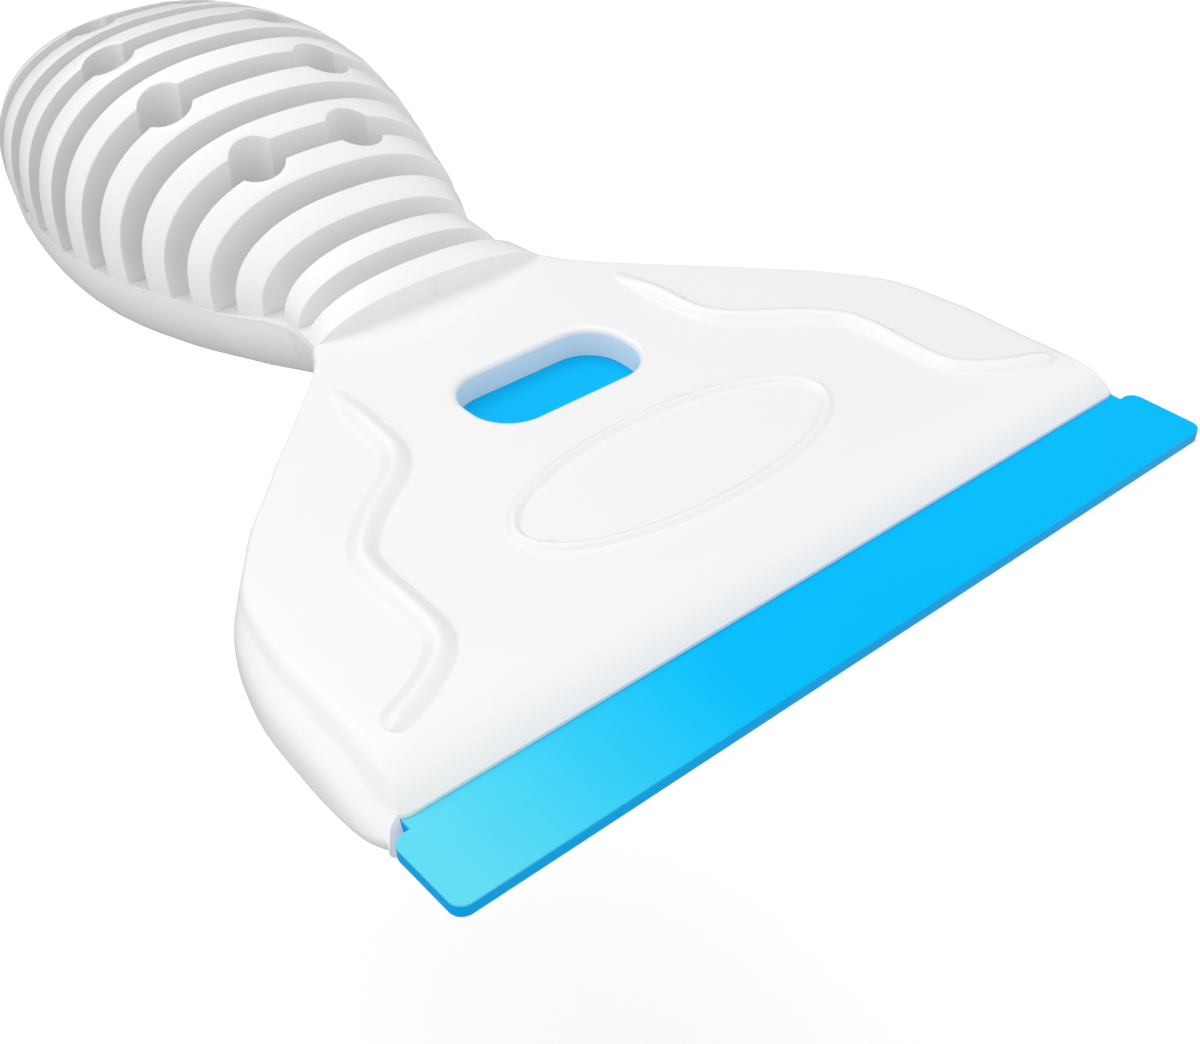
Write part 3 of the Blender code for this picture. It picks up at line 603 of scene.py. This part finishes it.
def buildHead():
    rings = [headRow(y) for y in headRows()]
    rim = rings[0]
    for inward in head["faceInsets"]:
        # the front face, drawn in from its rim
        face = []
        for x, y, z in rim:
            x, z = (1 - inward) * x, z + (head["faceMiddle"] - z) * inward * head["facePull"]
            face.append((x, head["front"] + float(cornerShift(np.array(x), np.array(z))), z))
        rings.insert(0, face)
    for turn in np.linspace(0, math.pi / 2, headSteps["ribFoot"] + 1)[1:]:
        # the soft foot of the first rib
        y = head["rear"] - head["ribFoot"] * (1 - math.sin(turn))
        rings.append(headRow(y, rise=head["ribFoot"] * (1 - math.cos(turn))))
    for back, inward in head["rearEnd"]:
        rings.append(headRow(head["rear"] + back, half=headHalf(head["rear"]) - inward))
    thing = skin("handle", rings)
    for side in (-1, 1):
        cut(thing, strip("waveStrip", wavePath(side), wave["width"], wave["height"]), "UNION")
    cut(thing, strip("ovalStrip", ovalPath(), oval["width"], oval["height"], closed=True), "UNION")
    print("head formed", len(thing.data.polygons))
    return thing


# the thumb window, with the flare and the overrun of its cutter
window = {
    "depth": 11.4, "length": 22.5, "corner": 5.0, "toGrip": 16.1, "rim": 0.75,
    "flare": 80.0, "flareSteps": 9, "spill": 0.4, "spillRise": 0.12, "clear": 4.0,
}


def windowOutline(grow):
    half = window["length"] / 2 + grow
    rear = head["rear"] - window["toGrip"] + grow
    front = rear - window["depth"] - 2 * grow
    points = [(half, front), (half, rear), (-half, rear), (-half, front)]
    return roundOutline(points, [window["corner"] + grow] * 4, 14)


def windowCutter():
    # a well whose mouth flares into the soft rim
    rim = window["rim"]
    mouth = headTop(head["rear"] - window["toGrip"] - window["depth"] / 2)
    rings = [(0.0, -blade["thick"])]
    for turn in np.linspace(0, math.radians(window["flare"]), window["flareSteps"]):
        rings.append((rim * (1 - math.cos(turn)), mouth - rim + rim * math.sin(turn)))
    grow, z = rings[-1]
    rings += [(grow + window["spill"], z + rise) for rise in (window["spillRise"], window["clear"])]
    return skin("windowCutter", [[(x, y, z) for x, y in windowOutline(grow)] for grow, z in rings])


# the blade, and the play of its slot; the slot's cutter starts before the head
blade = {
    "width": 102.8, "thick": 1.5, "exposed": 9.4, "corner": 1.4, "shoulder": 2.1, "tang": 12.6, "edge": 0.1,
    "tongueWidth": 34.0, "tongueLap": 3.8, "tongueCorner": 3.0,
    "gap": 0.3, "sideGap": 0.05, "play": 0.02, "overrun": 4.0,
}


def tongueEnd():
    return head["rear"] - window["toGrip"] + blade["tongueLap"]


def pocketOutline():
    gap = blade["gap"]
    tang = blade["width"] / 2 - blade["shoulder"] + blade["sideGap"]
    tongue = blade["tongueWidth"] / 2 + gap
    tangEnd = blade["exposed"] + blade["tang"] + gap
    right = [(tang, head["front"] - blade["overrun"]), (tang, tangEnd), (tongue, tangEnd), (tongue, tongueEnd() + gap)]
    return mirroredOutline(right, [0.0, blade["corner"], 0.0, blade["tongueCorner"]])


def bladeOutline():
    half, tongue, corner = blade["width"] / 2, blade["tongueWidth"] / 2, blade["corner"]
    tang = half - blade["shoulder"]
    tangEnd = blade["exposed"] + blade["tang"]
    right = [(half, 0.0), (half, blade["exposed"]), (tang, blade["exposed"]),
             (tang, tangEnd), (tongue, tangEnd), (tongue, tongueEnd())]
    return mirroredOutline(right, [corner, corner, 0.0, corner, 0.0, blade["tongueCorner"]], 8)


def buildBlade():
    thing = prism("bladeSheet", bladeOutline(), -blade["thick"], 0.0)
    softenRims(thing, blade["edge"], 2, lambda face: abs(face.normal.z) > flatCosine)
    finish(thing, "blade_body", "blade", blue, 40)


grip = {
    "width": 51.2, "rise": 18.7, "belly": 22.6, "nose": 8.7,
    "centreFront": 1.4, "centreClimb": 3.1, "topPower": 2.34, "bellyPower": 2.0,
    "rib": 3.5, "groove": 3.5, "grooves": 11, "ribEdge": 0.15, "ribEdgeFade": 0.3,
    # the wells: the groove they widen and their share of half the width
    "wellRadius": 3.5, "wells": {3: 0.281, 5: 0.454, 7: 0.465, 9: 0.293},
    # shares of half the width: the crown that follows the wells, the floor that lies level
    "crownShare": 0.7, "floorShare": 0.72,
    # behind the head's rear end: height of the groove floors, how far the ledge under them
    # stands out and drops, and the step in to the belly
    "neck": (
        (0.0, 3.4, .04, .8, .15), (3.5, 2.85, .1, .85, .25), (7.0, 2.15, .16, .85, .32),
        (10.5, 1.6, .19, .8, .32), (14.0, .95, .16, .6, .28), (17.5, .2, .09, .35, .24),
        (21.0, -.4, .03, .2, .2), (24.5, -.52, .02, .1, .18), (31.5, -.7, .02, .08, .12),
        (42.0, -.85, .02, .06, .06), (56.0, -.85, .02, .05, .02), (90.0, -.85, .02, .05, .02)),
    "stepDrop": 0.7, "leastFade": 0.05, "steepest": 0.9,
    # the form that leads from under the head into the grip, and its ledge: start and gain of the
    # level, of how far it stands out and drops, and of the step
    "fairing": 17.3, "fairingHalf": 13.5, "fairingShoulder": 1.5, "fairingLift": 0.7, "fairingDip": 4.3,
    "fairingRings": 18, "fairingPower": 1.5, "fairingGap": 0.05,
    "fairingLedge": ((-0.05, 2.0), (0.02, 0.03), (0.05, 0.75), (0.02, 0.13)),
    # share of the length, shares of half the width, of the rise and of the belly
    "sizes": (
        (0.0, .690, .290, .560), (.041, .635, .335, .566), (.082, .588, .360, .580), (.123, .578, .400, .600),
        (.163, .613, .442, .627), (.204, .676, .521, .665), (.245, .734, .600, .708), (.286, .777, .668, .752),
        (.368, .867, .794, .836), (.449, .945, .898, .897), (.531, .992, .984, .955), (.613, 1.0, 1.0, .990),
        (.694, .980, .973, 1.0), (.776, .941, .904, .950), (.817, .905, .860, .900), (.858, .832, .785, .830),
        (.898, .728, .685, .740), (.953, .510, .480, .540), (.985, .300, .280, .320), (1.0, 0.0, 0.0, 0.0)),
    # the round end beyond the table's last but one row, and how finely the table is read
    "tipShare": 0.985, "tipLength": 0.015, "tipSteps": 200, "bodySteps": 1500, "noseRings": 22,
}
pitch = grip["rib"] + grip["groove"]
gripEnd = head["rear"] + grip["grooves"] * pitch + grip["nose"]
tipTurns = np.linspace(0.01, 1, grip["tipSteps"]) * math.pi / 2
shareSteps = np.concatenate([np.linspace(0, grip["tipShare"], grip["bodySteps"]),
                             grip["tipShare"] + grip["tipLength"] * np.sin(tipTurns)])
upperCount, ledgeCount, bellyCount = 281, 6, 34     # points of a ring


def sizeColumn(column):
    values = []
    for share in shareSteps:
        if share > grip["tipShare"]:
            values.append(grip["sizes"][-2][column] * math.sqrt(max(0.0, (1 - share) / grip["tipLength"])))
        else:
            values.append(smoothValue(grip["sizes"], share, column))
    return np.array(values)


sizeCurves = [sizeColumn(1) * grip["width"] / 2, sizeColumn(2) * grip["rise"], sizeColumn(3) * grip["belly"]]


def gripShare(y):
    return (y - head["rear"]) / (gripEnd - head["rear"])


def gripSize(y, inset=0.0):
    # half the width, the rise and the belly
    share = np.clip(gripShare(np.asarray(y, dtype=float)), 0.0, 1.0)
    return [np.maximum(np.interp(share, shareSteps, curve) - inset, leastSize) for curve in sizeCurves]


def gripCentre(y):
    return grip["centreFront"] + grip["centreClimb"] * gripShare(np.asarray(y, dtype=float))


def bellyHeight(y):
    return float(gripCentre(y) - gripSize(y)[2])


def gripHeight(x, y, inset):
    # height of the ribbed side above a plan point
    wide, rise = gripSize(y, inset)[:2]
    power = grip["topPower"]
    return gripCentre(y) + rise * np.clip(1 - np.clip(np.abs(x) / wide, 0, 1) ** power, 0, 1) ** (1 / power)


def ovalPoints(angle, centre, wide, rise):
    # the ribbed side's arc, from the right over the top to the left
    c, s = np.cos(angle), np.sin(angle)
    power = 2 / grip["topPower"]
    return wide * np.sign(c) * np.abs(c) ** power, centre + rise * np.sign(s) * np.abs(s) ** power


def neckValue(y, column):
    return smoothValue(grip["neck"], min(max(y - head["rear"], 0.0), grip["neck"][-1][0]), column)


def ringShape(y):
    # centre, half width, rise and belly, then the ledge's level, out, drop and step
    wide, rise, belly = [float(value) for value in gripSize(y)]
    centre = float(gripCentre(y))
    level, out, drop, step = [neckValue(y, column) for column in (1, 2, 3, 4)]
    fade = min(1.0, max(grip["leastFade"], wide / (0.5 * grip["width"]) * 2))
    return centre, wide, rise, belly, (level - centre) * fade, out * fade, drop * fade, step * fade


def wellBend(x, y, edge, well, side):
    # how a ring swings out round the wells; the points next to a well's corners move onto them
    radius = grip["wellRadius"] + edge
    half = grip["groove"] / 2 + edge
    middle = well * grip["width"] / 2
    corner = math.sqrt(radius ** 2 - half ** 2)
    ys = np.full(upperCount, y)
    for spot in (middle, -middle):
        for end in (spot - corner, spot + corner):
            x[int(np.argmin(np.abs(x - end)))] = end
        bump = np.sqrt(np.clip(radius ** 2 - (x - spot) ** 2, 0, None)) - half
        ys = ys - side * np.clip(bump, 0.0, None)
    return ys


def levelFloor(x, foot, wide):
    # a groove's floor: the outer points spread evenly between the foot and the level middle
    first = int(np.argmax(np.abs(x) < grip["floorShare"] * wide))
    share = np.arange(first) / first
    x[:first] = foot[0] + (x[first] - foot[0]) * share
    x[-first:] = -(foot[0] + (-x[-first - 1] - foot[0]) * share[::-1])
    return np.full(upperCount, foot[1])


def gripRing(y, inset=0.0, edge=0.0, well=None, side=1, floor=False, shape=None):
    # a ring of the grip: edge is the distance from the groove's wall, well its share
    y = float(y)
    centre, wide, rise, belly, level, out, drop, step = shape or ringShape(y)
    part = min(grip["steepest"], abs(level) / rise)
    split = -math.copysign(math.asin(part ** (grip["topPower"] / 2)), level)
    angle = np.linspace(-split, math.pi + split, upperCount)
    x, z = ovalPoints(angle, centre, wide, rise)
    foot = (float(x[0]), float(z[0]))
    if inset:
        # the rounded edge fades out at the rib's foot
        fade = np.minimum(1.0, np.minimum(angle + split, math.pi + split - angle) / grip["ribEdgeFade"])
        x2, z2 = ovalPoints(angle, centre, wide - inset, rise - inset)
        x, z = x + (x2 - x) * fade, z + (z2 - z) * fade
    ys = np.full(upperCount, y)
    if well is not None:
        ys = wellBend(x, y, edge, well, side)
        onCrown = (ys != y) | (np.abs(x) < grip["crownShare"] * wide)
        z = np.where(onCrown, gripHeight(x, ys, inset), z)
    if floor:
        z = levelFloor(x, foot, wide)
    turn = np.linspace(0, 1, ledgeCount + 1)[1:]
    ledgeX, ledgeZ = foot[0] + out * turn, foot[1] - drop * turn
    top = float(ledgeZ[-1]) - step * grip["stepDrop"]
    half = float(ledgeX[-1]) - step
    sweep = np.linspace(0, math.pi, bellyCount)
    power = 2 / grip["bellyPower"]
    bellyX = -half * np.sign(np.cos(sweep)) * np.abs(np.cos(sweep)) ** power
    bellyZ = top - (top - centre + belly) * np.sin(sweep) ** power
    lowX = np.concatenate([-ledgeX, bellyX, ledgeX[::-1]])
    lowZ = np.concatenate([ledgeZ, bellyZ, ledgeZ[::-1]])
    return list(zip(x, ys, z)) + list(zip(lowX, [y] * len(lowX), lowZ))


def edgeRings(wall, well, side, down):
    # the rounded edge of a rib beside a groove; side 1 is the rib before the groove
    radius = grip["ribEdge"]
    rings = []
    if down:
        rings.append(gripRing(wall, radius, 0.0, well, side, floor=True))
    for turn in (0, 30, 60, 90):
        angle = math.radians(turn)
        away = radius * (1 - math.cos(angle))
        rings.append(gripRing(wall - side * away, radius * (1 - math.sin(angle)), away, well, side))
    return rings


def between(first, second, share):
    return [tuple(a[i] + (b[i] - a[i]) * share for i in range(3)) for a, b in zip(first, second)]


def fairingRings():
    # from a low form under the head to the grip's first ring
    wide, belly = [float(value) for value in gripSize(head["rear"])[::2]]
    centre = float(gripCentre(head["rear"]))
    half, dip = grip["fairingHalf"], grip["fairingDip"] + centre
    rings = []
    for part in np.linspace(0, 1, grip["fairingRings"]):
        y = head["rear"] - grip["fairing"] + (grip["fairing"] - grip["fairingGap"]) * part
        blend = part ** grip["fairingPower"]
        ledge = [start + gain * blend for start, gain in grip["fairingLedge"]]
        rings.append(gripRing(y, shape=(
            centre, half + (wide - half) * blend, grip["fairingShoulder"] + grip["fairingLift"] * blend,
            dip + (belly - dip) * blend, *ledge)))
    return rings


def buildGrip():
    rings = fairingRings()
    wells = grip["wells"]
    for rib in range(grip["grooves"] + 1):
        front = head["rear"] + rib * pitch
        first = edgeRings(front, wells.get(rib - 1), -1, rib > 0)
        rings += first
        if rib < grip["grooves"]:
            last = edgeRings(front + grip["rib"], wells.get(rib), 1, True)[::-1]
            rings.append(between(first[-1], last[0], 0.5))
            rings += last
    start = head["rear"] + grip["grooves"] * pitch + grip["ribEdge"]
    for step in range(1, grip["noseRings"]):
        rings.append(gripRing(start + (gripEnd - start) * math.sin(math.pi / 2 * step / grip["noseRings"])))
    rings.append([(0.0, gripEnd, float(gripCentre(gripEnd)))] * len(rings[0]))
    thing = skin("gripForm", rings)
    print("grip formed", len(thing.data.polygons))
    return thing


# the countersunk screws; slack, reach and overrun belong to their holes
screw = {
    "head": 2.7, "shank": 1.45, "root": 1.2, "rim": 0.25, "cone": 1.4, "sink": 0.3, "pitch": 0.7,
    "tip": 0.8, "tipRadius": 0.4, "edge": 0.07, "crossLength": 2.8, "crossWidth": 0.8, "crossDepth": 0.6,
    "headLength": 5.6, "gripLength": 10.0,
    "headSpots": ((35.89, 31.0), (26.29, 48.5)), "gripSpots": (99.0, 135.0),
    "hole": 1.5, "slack": 0.1, "rimSlack": 0.05, "outside": 1.5, "reach": 8.0, "overrun": 1.0, "holeEnd": 0.3,
}


def screwSpots():
    # x, y, the head's face and the length: the head cover's four, then the grip cover's two
    face = screw["sink"] - head["bottom"]
    spots = [(side * x, y, face, screw["headLength"]) for x, y in screw["headSpots"] for side in (-1, 1)]
    return spots + [(0.0, y, bellyHeight(y) + screw["sink"], screw["gripLength"]) for y in screw["gripSpots"]]


def sinkCutter(spot):
    # the countersunk hole of a cover
    x, y, z = spot[:3]
    wide = screw["head"] + screw["slack"]
    return turned("sinkCutter", [
        (wide, z - screw["outside"]), (wide, z + screw["rim"] + screw["rimSlack"]),
        (screw["hole"], z + screw["cone"] + screw["slack"]), (screw["hole"], z + screw["reach"])], (x, y))


def pilotHole(spot):
    # the hole that a screw's shank goes into
    x, y, z, length = spot
    return turned("pilotCutter", [
        (screw["hole"], z - screw["overrun"]), (screw["hole"], z + length + screw["holeEnd"])], (x, y))


def buildScrew(name, length):
    # face down: rim, cone, threaded shank, tip
    start, end, half = screw["cone"], length - screw["tip"], screw["pitch"] / 2
    profile = [(screw["head"], 0.0), (screw["head"], screw["rim"]), (screw["shank"], start)]
    for step in range(int((end - start) / half)):
        profile.append((screw["shank"] if step % 2 else screw["root"], start + half * (step + 1)))
    profile += [(screw["root"], end), (screw["tipRadius"], length)]
    thing = turned(name, profile)
    softenRims(thing, screw["edge"], 2, lambda face: face.normal.z < -flatCosine and face.area > mm ** 2)
    for wide, deep in ((screw["crossLength"], screw["crossWidth"]), (screw["crossWidth"], screw["crossLength"])):
        deselectAll()
        bpy.ops.mesh.primitive_cube_add(size=1.0, location=place(0, 0, 0))
        slot = bpy.context.object
        slot.scale = (wide * mm, deep * mm, screw["crossDepth"] * 2 * mm)
        cut(thing, slot)
    return thing


def placeScrews():
    names = ["head_screw_front_left", "head_screw_front_right", "head_screw_rear_left", "head_screw_rear_right",
             "grip_screw_front", "grip_screw_rear"]
    patterns = {length: buildScrew("screwPattern", length) for length in (screw["headLength"], screw["gripLength"])}
    for node, (x, y, z, length) in zip(names, screwSpots()):
        thing = copied(patterns[length], node.replace("_", "") + "Turned")
        thing.data.transform(Matrix.Translation(Vector((x, y, z)) * mm))
        finish(thing, "handle", node, metal, 40)
    for pattern in patterns.values():
        bpy.data.objects.remove(pattern)


# the plate under the head; overlap and under belong to its recess
headCover = {
    "rim": 4.5, "margin": 0.35, "front": 16.6, "rear": 53.7, "corner": 2.0, "top": -1.8, "edge": 0.25,
    "gap": 0.3, "overlap": 0.1, "under": -6.0, "points": 12,
}


def coverOutline(grow):
    corner = headCover["corner"] + grow
    ys = np.linspace(headCover["front"] - grow, headCover["rear"] + grow, headCover["points"])
    right = [(headHalf(float(y)) - headCover["rim"] + grow - headCover["margin"], float(y)) for y in ys]
    return mirroredOutline(right, [corner] + [0.0] * (len(right) - 2) + [corner], 6)


def buildHeadCover():
    thing = prism("headCoverPlate", coverOutline(0.0), -head["bottom"], headCover["top"])
    softenRims(thing, headCover["edge"], 2, lambda face: face.normal.z < -flatCosine)
    for spot in screwSpots()[:4]:
        cut(thing, sinkCutter(spot))
    finish(thing, "handle", "head_cover", white, 30)


# the plate in the belly, and the chamber above it with its two bosses
gripCover = {
    "half": 14.0, "front": 92.0, "rear": 142.0, "corner": 10.2, "thick": 1.4, "gap": 0.3,
    "ledge": 2.0, "roof": -3.4, "boss": 4.25, "bossStart": 1.1, "high": -6.0, "under": -40.0,
}


def gripOutline(shrink):
    half = gripCover["half"] - shrink
    front, rear = gripCover["front"] + shrink, gripCover["rear"] - shrink
    points = [(half, front), (half, rear), (-half, rear), (-half, front)]
    return roundOutline(points, [gripCover["corner"] - shrink] * 4, 12)


def gripSeat(form, shrink=0.0, name="seatCutter"):
    # all that lies under the cover's inner face, inside its outline
    raised = copied(form, "raisedForm")
    raised.data.transform(Matrix.Translation((0, 0, gripCover["thick"] * mm)))
    layer = prism(name, gripOutline(shrink), gripCover["under"], gripCover["high"])
    cut(layer, raised)
    return layer


def buildGripCover(form):
    thing = gripSeat(form, gripCover["gap"], "gripCoverPlate")
    cut(thing, form, "INTERSECT", keep=True)
    for spot in screwSpots()[4:]:
        cut(thing, sinkCutter(spot))
    return thing


def headCavity():
    # the blade's slot with the window above it, the cover's recess below and the screws' holes
    thing = prism("pocketCutter", pocketOutline(), headCover["top"] - headCover["overlap"], blade["play"])
    cut(thing, windowCutter(), "UNION")
    recess = prism("headRecess", coverOutline(headCover["gap"]), headCover["under"], headCover["top"])
    cut(thing, recess, "UNION")
    for spot in screwSpots()[:4]:
        cut(thing, pilotHole(spot), "UNION")
    return thing


def gripCavity(seat):
    # the cover's seat and the hollow above it, with a boss around each screw
    thing = prism("chamberCutter", gripOutline(gripCover["ledge"]), gripCover["under"], gripCover["roof"])
    spots = screwSpots()[4:]
    for spot in spots:
        profile = [(gripCover["boss"], spot[2] + gripCover["bossStart"]), (gripCover["boss"], 0.0)]
        cut(thing, turned("bossCutter", profile, spot[:2]))
    cut(thing, seat, "UNION")
    for spot in spots:
        cut(thing, pilotHole(spot), "UNION")
    return thing


def buildHandle():
    thing, form = buildHead(), buildGrip()
    cover, seat = buildGripCover(form), gripSeat(form)
    cut(thing, form, "UNION")
    for cavity in (headCavity(), gripCavity(seat)):
        cut(thing, cavity)
    finish(thing, "handle", "handle_body", white, 34)
    finish(cover, "handle", "grip_cover", white, 30)


buildHandle()
buildHeadCover()
placeScrews()
buildBlade()
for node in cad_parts:
    # the frame's own solids wear the same finishes
    look = metal if "screw" in node else blue if node == "blade" else white
    for slot in bpy.data.objects[node].material_slots:
        slot.material = look

# solved from the blade's corners and the head's straight edges in the photograph
camera = {
    "eye": (-95.6076, -68.4802, 100.1554),
    "right": (0.7582, -0.6521, -0.0004),
    "up": (0.3976, 0.4618, 0.7929),
    "lens": 48.2047, "sensor": 36.0, "shift": (-0.0005, 0.0009), "clip": 0.01,
}


def makeCamera():
    data = bpy.data.cameras.new("photoCamera")
    data.lens, data.sensor_width, data.clip_start = camera["lens"], camera["sensor"], camera["clip"]
    data.shift_x, data.shift_y = camera["shift"]
    thing = bpy.data.objects.new("photoCamera", data)
    bpy.context.collection.objects.link(thing)
    right = Vector(camera["right"]).normalized()
    up = Vector(camera["up"])
    up = (up - right * up.dot(right)).normalized()
    back = right.cross(up)
    turn = Matrix((right, up, back)).transposed().to_4x4()
    thing.matrix_world = Matrix.Translation(place(*camera["eye"])) @ turn
    bpy.context.scene.camera = thing


studio = {
    "floorSize": 8.0, "floorDrop": 0.09, "floorGlow": 0.15,
    "floorColor": (0.93, 0.94, 0.955, 1.0), "floorRoughness": 0.9,
    # soft patches of sky: direction, cosines where a patch starts and is full, strength
    "sky": (
        ((0.0, 0.0, 1.0), 0.0, 1.0, 0.40),
        ((0.0, 0.0, 1.0), 0.80, 0.97, 0.755),
        ((0.1, 0.62, 0.78), 0.86, 0.99, 1.85),
        ((-1.0, 0.0, 0.25), 0.20, 1.0, 1.09),
        ((1.0, -0.8, 0.2), 0.30, 1.0, 0.92),
        ((0.0, -1.0, -0.3), 0.35, 1.0, 0.29),
        ((0.0, 0.0, -1.0), 0.02, 0.30, 0.215),
    ),
}
plainWhite = (1.0, 1.0, 1.0, 1.0)


def makeSky():
    # large soft patches overhead, behind and at the sides, and a pale ground
    sky = Shader("softStudio", bpy.data.worlds, "Background")
    way = sky.node("ShaderNodeTexCoord", output="Generated")
    patches = [sky.ramp(sky.towards(way, Vector(direction).normalized()), start, full, 0.0, strength)
               for direction, start, full, strength in studio["sky"]]
    sky.feed("Color", plainWhite)
    sky.feed("Strength", sum(patches[1:], patches[0]))
    bpy.context.scene.world = sky.material


def makeFloor():
    deselectAll()
    bpy.ops.mesh.primitive_plane_add(size=studio["floorSize"], location=(0, 0, -studio["floorDrop"]))
    floor = bpy.context.object
    floor.name = "floor"
    shader = Shader("paleFloor")
    shader.feed("Base Color", studio["floorColor"])
    shader.feed("Roughness", studio["floorRoughness"])
    shader.feed("Specular IOR Level", 0.0)
    shader.feed("Emission Color", plainWhite)
    shader.feed("Emission Strength", studio["floorGlow"])
    coat(floor, shader.material)
    # the sky's ground lights the underside through the floor
    floor.visible_diffuse = floor.visible_glossy = floor.visible_shadow = False


makeCamera()
makeSky()
makeFloor()
bpy.context.scene.view_settings.view_transform = "Standard"
print("camera, light and floor ready")
